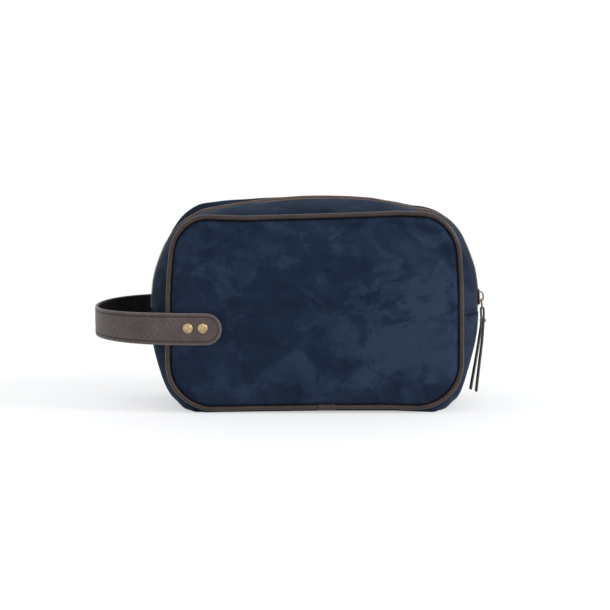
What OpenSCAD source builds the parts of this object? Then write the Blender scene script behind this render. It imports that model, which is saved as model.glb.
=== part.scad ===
// Shaving kit bag: two padded panels, a gusset that wraps round them, a zip along the ridge of the gusset,
// a riveted strap handle on one side and a thong pull on the zip's slider.
// The zip opens the bag from the cross seams up, so the front and rear walls each fold out along a flex line
// just above the handle. Every soft wall piece is divided there, into a lower part and an upper part.
// X runs along the bag, with the handle on the -X side. Y runs from front to rear, and Z is up.
// The origin is the middle of the base, on the surface that the bag stands on.

/* [Panels] */
// Width of a panel between the centrelines of its side piping
panel_w = 226; // [210:1:240]
// Height of the piping's centreline above the floor, along the foot of a panel
seam_foot_z = 3.5; // [3.5:0.1:5]
// Height of the piping's centreline above the floor, along the top of a panel
seam_top_z = 153; // [148:1:156]
// Depth of the bag between the front and rear piping centrelines
seam_depth = 94; // [88:1:100]
// Corner radius of a panel's seam at its top corners
panel_top_r = 30; // [26:1:34]
// Corner radius of a panel's seam at its foot corners
panel_foot_r = 35; // [30:1:38]
// Radius of the leather piping
piping_r = 2.1; // [1.8:0.1:2.2]
// Radius of the cord inside the piping
piping_cord_r = 1.2; // [0.9:0.1:1.3]

/* [Gusset] */
// How far the gusset stands out past the side seams at its widest
side_bulge = 17; // [14:1:20]
// Height of the ridge of the gusset, which the zip follows
ridge_top_z = 165; // [161:1:168]
// Height at which the gusset is widest
waist_z = 78; // [74:1:82]
// Radius of the ridge down each side
side_r = 150; // [140:5:160]
// Radius of the ridge round each shoulder
shoulder_r = 45; // [40:1:48]
// Radius of the ridge over the top
crest_r = 600; // [500:20:800]
// Radius of the ridge round each heel
heel_r = 30; // [26:1:34]
// Height of the cross seams, where the zip stops and the base gusset starts
cross_seam_z = 76; // [72:1:80]

/* [Zip] */
// Spacing of the teeth along one row
tooth_pitch = 2.6; // [2.4:0.1:3]
// Width of the whole gap between the front and rear gusset strips
zip_slot_w = 7.2; // [7:0.1:8]
// Distance along the chain from the cross seam to the middle of the slider
slider_at = 9; // [9:0.5:12]

/* [Handle] */
// Width of the handle strap
strap_w = 25; // [22:1:28]
// Height of the middle of the strap
strap_z = 67; // [64:1:70]
// Distance from the middle of the bag to the far side of the handle loop
handle_reach = 174; // [165:1:180]
// Distance from the middle of the bag to the round end of the strap
strap_end_x = 71.4; // [66:0.2:76]
// Distance from the middle of the bag to the first rivet
rivet_x = 86; // [84:1:88]
// Distance between the two rivets
rivet_pitch = 11.5; // [10:0.5:14]
// Radius of a rivet's cap
rivet_cap_r = 3.95; // [3.5:0.05:4.5]

/* [Pull] */
// Length of the thong's longer tail below its link
thong_len = 68; // [55:1:72]
// Width of the thong
thong_w = 4.2; // [3.6:0.1:4.2]

/* [Hidden] */
$fn = 64;

gap = 0.3;               // clearance between soft pieces that meet
fabric_t = 1.2;          // outer cloth
foam_t = 2.9;            // padding behind a panel
lining_t = 0.5;          // inner cloth
tape_t = 0.6;            // zip tape
seam_y = seam_depth / 2; // centreline of the piping, front and rear
panel_y = 49.2 - 47 + seam_y; // outer face of a panel, which its padding pushes past the piping
panel_inset = piping_r + 0.5; // from the piping's centreline to the panel's edge
gusset_y = seam_y - piping_r - 0.6; // front and rear edges of the gusset
flex_z = 82;             // height of the flex line across each panel
floor_dip = -3;          // how far below the floor the free shape of the gusset would reach

// Steps in each stretch of an outline
flat_steps = 3;
corner_steps = 6;
side_steps = 4;

// Centres of the arcs that make the ridge, as [x, z]
waist_x = panel_w / 2 + side_bulge;
side_c = [waist_x - side_r, waist_z];
crest_c = [0, ridge_top_z - crest_r];
shoulder_c = meeting(side_c, side_r - shoulder_r, crest_c, crest_r - shoulder_r);
heel_z = floor_dip + heel_r;
heel_c = [side_c.x + sqrt(pow(side_r - heel_r, 2) - pow(waist_z - heel_z, 2)), heel_z];
// Directions at which one arc hands over to the next
a_heel = atan2(heel_c.y - side_c.y, heel_c.x - side_c.x);
a_shoulder = atan2(shoulder_c.y - side_c.y, shoulder_c.x - side_c.x);
a_crest = atan2(shoulder_c.y - crest_c.y, shoulder_c.x - crest_c.x);
function a_side(z) = asin((z - waist_z) / side_r);

// Where two circles meet, to the right of the line from the first centre to the second
function meeting(c1, d1, c2, d2) =
    let (d = norm(c2 - c1), a = (d1 * d1 - d2 * d2 + d * d) / (2 * d), u = (c2 - c1) / d)
    c1 + a * u + sqrt(d1 * d1 - a * a) * [-u.y, u.x];

function on_circle(c, r, a) = c + r * [cos(a), sin(a)];
function arc(c, r, a0, a1, n) = [for (i = [0 : n - 1]) on_circle(c, r, a0 + (a1 - a0) * i / n)];
function run(p, q, n) = [for (i = [0 : n - 1]) p + (q - p) * i / n];
function mirrored(l) = [for (p = l) [-p.x, p.y]];
function backwards(l) = [for (i = [len(l) - 1 : -1 : 0]) l[i]];
function without_last(l) = [for (i = [0 : len(l) - 2]) l[i]];

// The ridge, inset by t, from the middle of the base up to height z on the right
function ridge_low(t, z) = concat(
    run([0, floor_dip + t], [heel_c.x, floor_dip + t], flat_steps),
    arc(heel_c, heel_r - t, -90, a_heel, corner_steps),
    arc(side_c, side_r - t, a_heel, a_side(z), side_steps),
    [on_circle(side_c, side_r - t, a_side(z))]);
// The ridge, inset by t, from height z on the right up to the middle of the top
function ridge_high(t, z) = concat(
    arc(side_c, side_r - t, a_side(z), a_shoulder, side_steps),
    arc(shoulder_c, shoulder_r - t, a_shoulder, a_crest, corner_steps),
    arc(crest_c, crest_r - t, a_crest, 90, flat_steps),
    [[0, ridge_top_z - t]]);

// The same two stretches of a panel's seam
function seam_low(t, z) =
    let (x = panel_w / 2 - panel_foot_r, c = [x, seam_foot_z + panel_foot_r], edge = panel_w / 2 - t)
    concat(
        run([0, seam_foot_z + t], [x, seam_foot_z + t], flat_steps),
        arc(c, panel_foot_r - t, -90, 0, corner_steps),
        run([edge, c.y], [edge, z], side_steps),
        [[edge, z]]);
function seam_high(t, z) =
    let (x = panel_w / 2 - panel_top_r, c = [x, seam_top_z - panel_top_r], edge = panel_w / 2 - t)
    concat(
        run([edge, z], [edge, c.y], side_steps),
        arc(c, panel_top_r - t, 0, 90, corner_steps),
        run([x, seam_top_z - t], [0, seam_top_z - t], flat_steps),
        [[0, seam_top_z - t]]);

// A half outline joined to its mirror image, for the stretch over the top and the stretch under the base
function over_top(high) = concat(high, backwards(mirrored(without_last(high))));
function under_base(low) = concat(backwards(mirrored(low)), [for (i = [1 : len(low) - 1]) low[i]]);
// The whole outline of a panel
function panel_outline(t) =
    let (low = seam_low(t, cross_seam_z), high = seam_high(t, cross_seam_z))
    concat(without_last(low), without_last(high), backwards(mirrored(high)),
        backwards(mirrored([for (i = [1 : len(low) - 2]) low[i]])));

// Share of the way from the seam to the ridge at depth y
function bulge(y) = 1 - pow(abs(y) / seam_y, 2.2);
// One row of points across the gusset's surface, level with the floor where it would pass below it
function cloth_point(p, m, y, t) =
    let (b = bulge(y)) [p.x + (m.x - p.x) * b, y, max(t, p.y + (m.y - p.y) * b)];

// A sheet of cloth between depths of t0 and t1 below the outer surface, along one stretch of the gusset
module cloth(seam0, ridge0, seam1, ridge1, t0, t1, ys) {
    ni = len(seam0);
    nj = len(ys);
    outer = [for (i = [0 : ni - 1]) for (y = ys) cloth_point(seam0[i], ridge0[i], y, t0)];
    inner = [for (i = [0 : ni - 1]) for (y = ys) cloth_point(seam1[i], ridge1[i], y, t1)];
    function at(layer, i, j) = layer * ni * nj + i * nj + j;
    function two(a, b, c, d) = [[a, b, c], [a, c, d]];
    faces = concat(
        [for (i = [0 : ni - 2]) for (j = [0 : nj - 2])
            each two(at(0, i, j), at(0, i + 1, j), at(0, i + 1, j + 1), at(0, i, j + 1))],
        [for (i = [0 : ni - 2]) for (j = [0 : nj - 2])
            each two(at(1, i, j), at(1, i, j + 1), at(1, i + 1, j + 1), at(1, i + 1, j))],
        [for (i = [0 : ni - 2]) each two(at(0, i, 0), at(1, i, 0), at(1, i + 1, 0), at(0, i + 1, 0))],
        [for (i = [0 : ni - 2])
            each two(at(0, i, nj - 1), at(0, i + 1, nj - 1), at(1, i + 1, nj - 1), at(1, i, nj - 1))],
        [for (j = [0 : nj - 2]) each two(at(0, 0, j), at(0, 0, j + 1), at(1, 0, j + 1), at(1, 0, j))],
        [for (j = [0 : nj - 2])
            each two(at(0, ni - 1, j), at(1, ni - 1, j), at(1, ni - 1, j + 1), at(0, ni - 1, j + 1))]);
    polyhedron(concat(outer, inner), faces);
}

function spread(y0, y1, n) = [for (i = [0 : n]) y0 + (y1 - y0) * i / n];

module zip_strip(t0, t1, y_edge, y_slot, n) {
    z = cross_seam_z + gap / 2;
    cloth(over_top(seam_high(t0, z)), over_top(ridge_high(t0, z)),
        over_top(seam_high(t1, z)), over_top(ridge_high(t1, z)), t0, t1, spread(-y_edge, -y_slot, n));
}

module base_strip(t0, t1, y_edge, n, above = 0) {
    z = cross_seam_z - gap / 2 + above;
    cloth(under_base(seam_low(t0, z)), under_base(ridge_low(t0, z)),
        under_base(seam_low(t1, z)), under_base(ridge_low(t1, z)), t0, t1, spread(-y_edge, y_edge, n));
}

// The part of its children below the flex line, or above it
module lower() {
    intersection() {
        children();
        translate([-200, -100, -10]) cube([400, 200, flex_z - gap / 2 + 10]);
    }
}
module upper() {
    intersection() {
        children();
        translate([-200, -100, flex_z + gap / 2]) cube([400, 200, 120]);
    }
}

// A flat layer of a front panel, from depth y0 to depth y1, inset from the piping's centreline
module panel_layer(y0, y1, inset) {
    translate([0, y1, 0]) rotate([90, 0, 0]) linear_extrude(y1 - y0) polygon(panel_outline(inset));
}

module at_rivets() {
    for (x = [rivet_x, rivet_x + rivet_pitch]) translate([-x, 0, strap_z]) rotate([90, 0, 0]) children();
}

rivet_post_r = 1.25;
module rivet_holes() at_rivets() cylinder(r = rivet_post_r + 0.05, h = 120);

// Front pieces are drawn at -Y, and each rear piece is a mirror image of its front one
module rear() mirror([0, 1, 0]) children();

panel_back_y = -panel_y + fabric_t; // inner face of the front panel's cloth
foam_back_y = panel_back_y + 0.1 + foam_t;
patch_l = 33;
patch_h = 27;
patch_t = 1.1;
patch_x = rivet_x + rivet_pitch / 2;

module panel() {
    color("midnightblue") difference() {
        panel_layer(-panel_y, panel_back_y, panel_inset);
        rivet_holes();
    }
}

module foam() {
    color("gainsboro") difference() {
        panel_layer(panel_back_y + 0.1, foam_back_y, panel_inset + 1.4);
        translate([-patch_x, -seam_y, strap_z]) cube([patch_l + 1, 40, patch_h + 1], center = true);
    }
}

module panel_lining() {
    color("dimgray") panel_layer(foam_back_y + 0.1, foam_back_y + 0.1 + lining_t, panel_inset + 1.4);
}

// A ring along the panel's seam, hollow if r_in is above 0
module seam_ring(r_out, r_in) {
    module profile() {
        difference() {
            circle(r = r_out);
            if (r_in > 0) circle(r = r_in);
        }
    }
    module straight(p, q) {
        d = q - p;
        translate([p.x, 0, p.y]) rotate([0, atan2(d.x, d.y), 0]) linear_extrude(norm(d)) profile();
    }
    module corner(c, r, a) {
        translate([c.x, 0, c.y]) rotate([90, 0, 0]) rotate([0, 0, a])
            rotate_extrude(angle = 90) translate([r, 0]) profile();
    }
    w = panel_w / 2;
    top = w - panel_top_r;
    foot = w - panel_foot_r;
    z_top = seam_top_z - panel_top_r;
    z_foot = seam_foot_z + panel_foot_r;
    translate([0, -seam_y, 0]) union() {
        straight([-foot, seam_foot_z], [foot, seam_foot_z]);
        corner([foot, z_foot], panel_foot_r, -90);
        straight([w, z_foot], [w, z_top]);
        corner([top, z_top], panel_top_r, 0);
        straight([top, seam_top_z], [-top, seam_top_z]);
        corner([-top, z_top], panel_top_r, 90);
        straight([-w, z_top], [-w, z_foot]);
        corner([-foot, z_foot], panel_foot_r, 180);
    }
}

module piping() { color("saddlebrown") seam_ring(piping_r, piping_cord_r + 0.05); }
module piping_cord() { color("wheat") seam_ring(piping_cord_r, 0); }

join_x = 2;
join_l = 14;
module piping_join() {
    color("sienna") translate([join_x, -seam_y, seam_foot_z]) rotate([0, 90, 0]) difference() {
        cylinder(r = piping_r + 0.25, h = join_l);
        translate([0, 0, -1]) cylinder(r = piping_r + 0.03, h = join_l + 2);
    }
}

module zip_gusset() { color("navy") zip_strip(0, fabric_t, gusset_y, zip_slot_w / 2, 5); }
module base_gusset() {
    color("navy") difference() {
        base_strip(0, fabric_t, gusset_y, 10, 1);
        translate([-200, -100, cross_seam_z - gap / 2]) cube([400, 200, 20]);
    }
}

lining_top = fabric_t + 0.5; // depth of the lining's outer face below the cloth's
tape_edge_y = 9;
module zip_lining() {
    color("gray") zip_strip(lining_top, lining_top + lining_t, gusset_y - 1.5, tape_edge_y + gap, 4);
}
module base_lining() { color("gray") base_strip(lining_top, lining_top + lining_t, gusset_y - 1.5, 8); }

// The arcs that the zip follows, from the right-hand cross seam over to the left-hand one,
// each as [centre, radius, start, end]
chain_arcs = [
    [side_c, side_r, a_side(cross_seam_z), a_shoulder],
    [shoulder_c, shoulder_r, a_shoulder, a_crest],
    [crest_c, crest_r, a_crest, 180 - a_crest],
    [[-shoulder_c.x, shoulder_c.y], shoulder_r, 180 - a_crest, 180 - a_shoulder],
    [[-side_c.x, side_c.y], side_r, 180 - a_shoulder, 180 - a_side(cross_seam_z)]
];
function arc_len(a) = a[1] * (a[3] - a[2]) * PI / 180;
function chain_len(i = 0) = i < len(chain_arcs) ? arc_len(chain_arcs[i]) + chain_len(i + 1) : 0;
// [centre, radius, direction] at distance s along the chain
function chain_at(s, i = 0) =
    let (a = chain_arcs[i], l = arc_len(a))
    s <= l || i == len(chain_arcs) - 1 ? [a[0], a[1], a[2] + s / a[1] * 180 / PI] : chain_at(s - l, i + 1);

// Children are drawn with +X out of the bag, +Z along the chain and the ridge's surface at X 0
module on_chain(s) {
    f = chain_at(s);
    translate([f[0].x, 0, f[0].y]) rotate([0, -f[2], 0]) translate([f[1], 0, 0]) children();
}

tape_depth = fabric_t + 0.1;
module zip_tape() {
    color("saddlebrown") zip_strip(tape_depth, tape_depth + tape_t, tape_edge_y, tooth_far_y + 0.1, 3);
}

tooth_near_y = 0.4;
tooth_far_y = 2.6;
tooth_l = 1.3;
tooth_t = 1.7;
tooth_mid = tape_depth + tape_t / 2; // depth of the middle of a tooth
stop_l = 2.2;
stop_s = 1.6; // distance of each stop from the end of the chain
teeth_start = 4.2;

module row_of_teeth(shift) {
    n = floor((chain_len() - 2 * teeth_start) / tooth_pitch);
    color("darkgoldenrod") for (i = [0 : n - 1]) on_chain(teeth_start + shift + i * tooth_pitch)
        translate([-tooth_mid - tooth_t / 2, -tooth_far_y, -tooth_l / 2])
            cube([tooth_t, tooth_far_y - tooth_near_y, tooth_l]);
}
module zip_teeth_front() row_of_teeth(0);
module zip_teeth_rear() rear() row_of_teeth(tooth_pitch / 2);

module zip_top_stop() {
    color("goldenrod") on_chain(stop_s) translate([-tooth_mid - 1.2, -tooth_far_y, -stop_l / 2])
        cube([2.4, tooth_far_y - tooth_near_y, stop_l]);
}
module zip_bottom_stop() {
    color("goldenrod") on_chain(chain_len() - stop_s)
        translate([-tooth_mid - 1.2, -tooth_far_y, -stop_l / 2]) cube([2.4, 2 * tooth_far_y, stop_l]);
}

// Handle: two layers of leather, bent round in a loop from the front panel to the rear one
backing_y = panel_y + 0.2;
backing_t = 1.2;
strap_t = 1.6;
loop_x = handle_reach - backing_y - backing_t - strap_t - 0.05; // centre of the round part of the loop
module strap_layer(y0, t) {
    end_r = strap_w / 2;
    difference() {
        union() {
            translate([-loop_x, 0, strap_z - strap_w / 2]) linear_extrude(strap_w) difference() {
                circle(r = y0 + t, $fn = 128);
                circle(r = y0, $fn = 128);
                translate([0, -y0 - 2 * t]) square([y0 + 2 * t, 2 * y0 + 4 * t]);
            }
            for (y = [-y0, y0 + t]) translate([0, y, 0]) rotate([90, 0, 0]) linear_extrude(t) union() {
                translate([-loop_x, strap_z - strap_w / 2]) square([loop_x - strap_end_x - end_r, strap_w]);
                translate([-strap_end_x - end_r, strap_z]) circle(r = end_r);
            }
        }
        rivet_holes();
        rear() rivet_holes();
    }
}
module handle_strap() { color("saddlebrown") strap_layer(backing_y + backing_t + 0.05, strap_t); }
module handle_backing() { color("black") strap_layer(backing_y, backing_t); }

strap_face_y = backing_y + backing_t + 0.05 + strap_t;
patch_y = -panel_back_y - 0.1; // outer face of the hidden patch
washer_t = 0.8;
module handle_rivets() {
    color("gold") at_rivets() {
        translate([0, 0, strap_face_y + 0.05]) rotate_extrude()
            polygon(concat([[0, 0], [rivet_cap_r, 0], [rivet_cap_r, 0.45]],
                [for (a = [15 : 15 : 75]) [rivet_cap_r * cos(a), 0.45 + 0.95 * sin(a)]], [[0, 1.4]]));
        translate([0, 0, patch_y - patch_t - washer_t - 0.25])
            cylinder(r = rivet_post_r, h = strap_face_y - patch_y + 2.5);
    }
}
module handle_rivet_washers() {
    color("gold") at_rivets() translate([0, 0, patch_y - patch_t - washer_t - 0.05]) difference() {
        cylinder(r = 3.6, h = washer_t);
        translate([0, 0, -1]) cylinder(r = rivet_post_r + 0.05, h = washer_t + 2);
    }
}
module handle_patch() {
    color("peru") difference() {
        translate([-patch_x - patch_l / 2, -patch_y, strap_z - patch_h / 2])
            cube([patch_l, patch_t, patch_h]);
        rivet_holes();
    }
}

// Slider, in the chain's own directions
plate_l = 12;
plate_t = 1.1;
plate_top = 0.3;                              // inner face of the top plate above the ridge
plate_under = tooth_mid + tooth_t / 2 + 1.5; // depth of the bottom plate's inner face
module plate(x) {
    nose = 2.9;
    wide = 4.2;
    translate([x, 0, 0]) rotate([90, 0, 90]) linear_extrude(plate_t) polygon([
        [-wide, -plate_l / 2 + 1], [-wide + 1, -plate_l / 2],
        [wide - 1, -plate_l / 2], [wide, -plate_l / 2 + 1],
        [wide, 0], [nose, plate_l / 2 - 0.8], [nose - 0.8, plate_l / 2],
        [-nose + 0.8, plate_l / 2], [-nose, plate_l / 2 - 0.8], [-wide, 0]]);
}
module slider_body() {
    color("goldenrod") on_chain(slider_at) {
        plate(plate_top);
        plate(-plate_under - plate_t);
        translate([-plate_under - 0.1, -0.15, -plate_l / 2 + 1]) cube([plate_under + plate_top + 0.2, 0.3, 3]);
    }
}

crown_w = 2.6;
crown_h = 3.4;
crown_t = 1;
crown_foot = plate_top + plate_t + 0.02;
module slider_crown() {
    half_l = 4;
    color("goldenrod") on_chain(slider_at) translate([crown_foot, crown_w / 2, 0]) rotate([90, 0, 0])
        linear_extrude(crown_w) difference() {
            union() {
                translate([0, -half_l]) square([crown_h - 1.5, 2 * half_l]);
                translate([0, -half_l + 1.5]) square([crown_h, 2 * half_l - 3]);
                for (s = [-1, 1]) translate([crown_h - 1.5, s * (half_l - 1.5)]) circle(r = 1.5);
            }
            translate([-1, -half_l + crown_t]) square([crown_h - crown_t + 0.3, 2 * half_l - 2 * crown_t]);
            translate([0, -half_l + crown_t + 0.2])
                square([crown_h - crown_t, 2 * half_l - 2 * crown_t - 0.4]);
        }
}

// The link hangs from the bottom of the crown's tunnel, and the thong is folded round the link's lower bar
link_wire_r = 0.55;
link_in_w = 4.6;
link_l = 6.2;     // between the middles of its two bars
link_lean = 5;    // degrees out from straight down
link_at = [crown_foot + 1.25, -2.2]; // upper bar, out of the bag and along the chain
thong_at = link_at + link_l * [sin(link_lean), -cos(link_lean)];
module pull_link() {
    r = 1;
    half_w = link_in_w / 2 + link_wire_r;
    module bend(y, z, a) {
        translate([0, y, z]) rotate([90, 0, 90]) rotate([0, 0, a])
            rotate_extrude(angle = 90) translate([r, 0]) circle(r = link_wire_r, $fn = 24);
    }
    color("goldenrod") on_chain(slider_at) translate([link_at.x, 0, link_at.y]) rotate([0, -link_lean, 0]) {
        for (z = [0, -link_l]) translate([0, half_w - r, z]) rotate([90, 0, 0])
            cylinder(r = link_wire_r, h = 2 * (half_w - r), $fn = 24);
        for (s = [-1, 1]) translate([0, s * half_w, -link_l + r])
            cylinder(r = link_wire_r, h = link_l - 2 * r, $fn = 24);
        bend(half_w - r, -r, 0);
        bend(-half_w + r, -r, 90);
        bend(-half_w + r, -link_l + r, 180);
        bend(half_w - r, -link_l + r, 270);
    }
}

thong_t = 1.5;
thong_in_r = link_wire_r + 0.12;
thong_rivet_drop = 11;
// Thong, drawn in the chain's directions with its fold round the link's lower bar at [0, 0].
// Its two tails are pinched at the rivet, then hang apart and lean in towards the bag.
module thong_profile() {
    r = thong_in_r;
    t = thong_t;
    pinch = 0.05;
    d = thong_rivet_drop;
    l = thong_len;
    outer_tail = [[r, 0], [pinch, -d], [-1.9, -d - 17], [-4.4, -d - 33], [-8, -l]];
    inner_tail = [[-r, 0], [-pinch, -d], [-3, -d - 17], [-6.2, -d - 33], [-10.9, -l + 2]];
    polygon(concat(
        backwards(outer_tail),
        [for (a = [15 : 15 : 165]) r * [cos(a), sin(a)]],
        inner_tail,
        [for (p = backwards(inner_tail)) p - [t, 0]],
        [for (a = [165 : -15 : 15]) (r + t) * [cos(a), sin(a)]],
        [for (p = outer_tail) p + [t, 0]]));
}
module pull_thong() {
    color("saddlebrown") on_chain(slider_at) translate([thong_at.x, 0, thong_at.y]) difference() {
        translate([0, thong_w / 2, 0]) rotate([90, 0, 0]) linear_extrude(thong_w) thong_profile();
        translate([-5, 0, -thong_rivet_drop]) rotate([0, 90, 0]) cylinder(r = 0.8, h = 10, $fn = 32);
    }
}
module pull_thong_rivet() {
    half = thong_t + 0.3;
    color("gold") on_chain(slider_at)
    translate([thong_at.x, 0, thong_at.y - thong_rivet_drop]) rotate([0, 90, 0]) {
        translate([0, 0, -half]) cylinder(r = 0.75, h = 2 * half, $fn = 32);
        translate([0, 0, half - 0.02]) cylinder(r1 = 1.7, r2 = 1.3, h = 0.8, $fn = 32);
        translate([0, 0, -half - 0.5]) cylinder(r = 1.5, h = 0.52, $fn = 32);
    }
}

lower() panel();  // front_panel_lower
upper() panel();  // front_panel_upper
lower() foam();  // front_foam_lower
upper() foam();  // front_foam_upper
lower() panel_lining();  // front_lining_lower
upper() panel_lining();  // front_lining_upper
lower() piping();  // front_piping_lower
upper() piping();  // front_piping_upper
lower() piping_cord();  // front_piping_cord_lower
upper() piping_cord();  // front_piping_cord_upper
piping_join();  // front_piping_join
rear() lower() panel();  // rear_panel_lower
rear() upper() panel();  // rear_panel_upper
rear() lower() foam();  // rear_foam_lower
rear() upper() foam();  // rear_foam_upper
rear() lower() panel_lining();  // rear_lining_lower
rear() upper() panel_lining();  // rear_lining_upper
rear() lower() piping();  // rear_piping_lower
rear() upper() piping();  // rear_piping_upper
rear() lower() piping_cord();  // rear_piping_cord_lower
rear() upper() piping_cord();  // rear_piping_cord_upper
rear() piping_join();  // rear_piping_join
zip_gusset();  // zip_gusset_front
rear() zip_gusset();  // zip_gusset_rear
zip_lining();  // zip_lining_front
rear() zip_lining();  // zip_lining_rear
base_gusset();
base_lining();
zip_tape();  // zip_tape_front
rear() zip_tape();  // zip_tape_rear
zip_teeth_front();
zip_teeth_rear();
zip_top_stop();  // zip_top_stop_front
rear() zip_top_stop();  // zip_top_stop_rear
zip_bottom_stop();
handle_strap();
handle_backing();
handle_rivets();  // handle_rivets_front
rear() handle_rivets();  // handle_rivets_rear
handle_rivet_washers();  // handle_rivet_washers_front
rear() handle_rivet_washers();  // handle_rivet_washers_rear
handle_patch();  // handle_patch_front
rear() handle_patch();  // handle_patch_rear
slider_body();
slider_crown();
pull_link();
pull_thong();
pull_thong_rivet();
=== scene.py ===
import math

import bmesh
import bpy
import numpy as np
from mathutils import Matrix, Vector, noise


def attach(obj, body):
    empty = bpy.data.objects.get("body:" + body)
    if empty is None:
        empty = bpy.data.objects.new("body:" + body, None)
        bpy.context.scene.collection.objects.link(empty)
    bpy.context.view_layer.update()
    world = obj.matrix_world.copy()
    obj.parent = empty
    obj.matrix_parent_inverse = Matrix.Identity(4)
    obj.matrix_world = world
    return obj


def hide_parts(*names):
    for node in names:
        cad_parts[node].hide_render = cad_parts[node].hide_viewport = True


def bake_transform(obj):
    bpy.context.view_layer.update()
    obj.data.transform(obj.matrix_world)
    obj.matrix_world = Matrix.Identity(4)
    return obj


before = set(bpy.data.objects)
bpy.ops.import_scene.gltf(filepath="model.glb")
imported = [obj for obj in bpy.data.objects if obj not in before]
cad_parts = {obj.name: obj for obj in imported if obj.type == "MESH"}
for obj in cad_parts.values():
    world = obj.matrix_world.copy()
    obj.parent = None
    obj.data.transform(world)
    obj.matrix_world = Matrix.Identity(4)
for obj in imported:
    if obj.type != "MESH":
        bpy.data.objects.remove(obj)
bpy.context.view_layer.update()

MM = 0.001
TURN = 2 * math.pi

# The bag's own measures, in millimetres, as its source gives them
PANEL_HALF_W = 113
SEAM_FOOT_Z, SEAM_TOP_Z = 3.5, 153
SEAM_Y = 47
PANEL_TOP_R, PANEL_FOOT_R = 30, 35
PIPING_R = 1.9
SIDE_BULGE = 17
RIDGE_TOP_Z = 165
WAIST_Z = 78
SIDE_R, SHOULDER_R, CREST_R, HEEL_R = 150, 45, 600, 30
FLOOR_DIP = -3
CROSS_SEAM_Z = 76
GUSSET_Y = 44.3
LINING_DEPTH = 1.7
ZIP_EDGE_Y = 5.0
COIL_DEPTH = 0.5
FABRIC_T = 1.2
SLIDER_AT = 9
STRAP_Z, STRAP_W = 67, 25
STITCH_IN = 2.9
STRAP_END_X = 71.4
RIVET_X, RIVET_PITCH = 86, 11.5

SIDES = {"front": -1, "rear": 1}
BASE = "bag_body"


# -------------------- outlines of the bag

def vec(*v):
    return np.array(v, float)


def columns(*c):
    return np.stack(c, 1)


def unit(v):
    return v / np.linalg.norm(v, axis=-1, keepdims=True)


def meeting(c1, d1, c2, d2):
    """Where two circles meet, to the right of the line from the first centre to the second."""
    d = np.linalg.norm(c2 - c1)
    a = (d1 * d1 - d2 * d2 + d * d) / (2 * d)
    u = (c2 - c1) / d
    return c1 + a * u + math.sqrt(d1 * d1 - a * a) * vec(-u[1], u[0])


SIDE_C = vec(PANEL_HALF_W + SIDE_BULGE - SIDE_R, WAIST_Z)
CREST_C = vec(0, RIDGE_TOP_Z - CREST_R)
SHOULDER_C = meeting(SIDE_C, SIDE_R - SHOULDER_R, CREST_C, CREST_R - SHOULDER_R)
HEEL_Z = FLOOR_DIP + HEEL_R
HEEL_C = vec(SIDE_C[0] + math.sqrt((SIDE_R - HEEL_R) ** 2 - (WAIST_Z - HEEL_Z) ** 2), HEEL_Z)
A_HEEL = math.atan2(HEEL_C[1] - SIDE_C[1], HEEL_C[0] - SIDE_C[0])
A_SHOULDER = math.atan2(SHOULDER_C[1] - SIDE_C[1], SHOULDER_C[0] - SIDE_C[0])
A_CREST = math.atan2(SHOULDER_C[1] - CREST_C[1], SHOULDER_C[0] - CREST_C[0])


def side_angle(z):
    return math.asin((z - WAIST_Z) / SIDE_R)


def arc(c, r, a0, a1, n):
    a = np.linspace(a0, a1, n, endpoint=False)
    return columns(c[0] + r * np.cos(a), c[1] + r * np.sin(a))


def run(p, q, n):
    k = np.linspace(0, 1, n, endpoint=False)[:, None]
    return np.asarray(p, float) * (1 - k) + np.asarray(q, float) * k


FLAT_STEPS, CORNER_STEPS, SIDE_STEPS = 22, 20, 16


def ridge_low(t, z):
    return np.concatenate([
        run((0, FLOOR_DIP + t), (HEEL_C[0], FLOOR_DIP + t), FLAT_STEPS),
        arc(HEEL_C, HEEL_R - t, -math.pi / 2, A_HEEL, CORNER_STEPS),
        arc(SIDE_C, SIDE_R - t, A_HEEL, side_angle(z), SIDE_STEPS),
        arc(SIDE_C, SIDE_R - t, side_angle(z), 0, 1)])


def ridge_high(t, z):
    return np.concatenate([
        arc(SIDE_C, SIDE_R - t, side_angle(z), A_SHOULDER, SIDE_STEPS),
        arc(SHOULDER_C, SHOULDER_R - t, A_SHOULDER, A_CREST, CORNER_STEPS),
        arc(CREST_C, CREST_R - t, A_CREST, math.pi / 2, FLAT_STEPS),
        [(0, RIDGE_TOP_Z - t)]])


def seam_low(t, z):
    x = PANEL_HALF_W - PANEL_FOOT_R
    c = (x, SEAM_FOOT_Z + PANEL_FOOT_R)
    edge = PANEL_HALF_W - t
    return np.concatenate([
        run((0, SEAM_FOOT_Z + t), (x, SEAM_FOOT_Z + t), FLAT_STEPS),
        arc(c, PANEL_FOOT_R - t, -math.pi / 2, 0, CORNER_STEPS),
        run((edge, c[1]), (edge, z), SIDE_STEPS),
        [(edge, z)]])


def seam_high(t, z):
    x = PANEL_HALF_W - PANEL_TOP_R
    c = (x, SEAM_TOP_Z - PANEL_TOP_R)
    edge = PANEL_HALF_W - t
    return np.concatenate([
        run((edge, z), (edge, c[1]), SIDE_STEPS),
        arc(c, PANEL_TOP_R - t, 0, math.pi / 2, CORNER_STEPS),
        run((x, SEAM_TOP_Z - t), (0, SEAM_TOP_Z - t), FLAT_STEPS),
        [(0, SEAM_TOP_Z - t)]])


def mirrored(p):
    return p * vec(-1, 1)


def over_top(high):
    return np.concatenate([high, mirrored(high[:-1])[::-1]])


def under_base(low):
    return np.concatenate([mirrored(low)[::-1], low[1:]])


def whole_seam(t):
    """A panel's closed outline, inset by t from the piping's centreline, its first point repeated last."""
    low, high = seam_low(t, CROSS_SEAM_Z), seam_high(t, CROSS_SEAM_Z)
    right = np.concatenate([low[:-1], high])
    return np.concatenate([right, mirrored(right[:-1])[::-1]])


# -------------------- how the cloth settles

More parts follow.
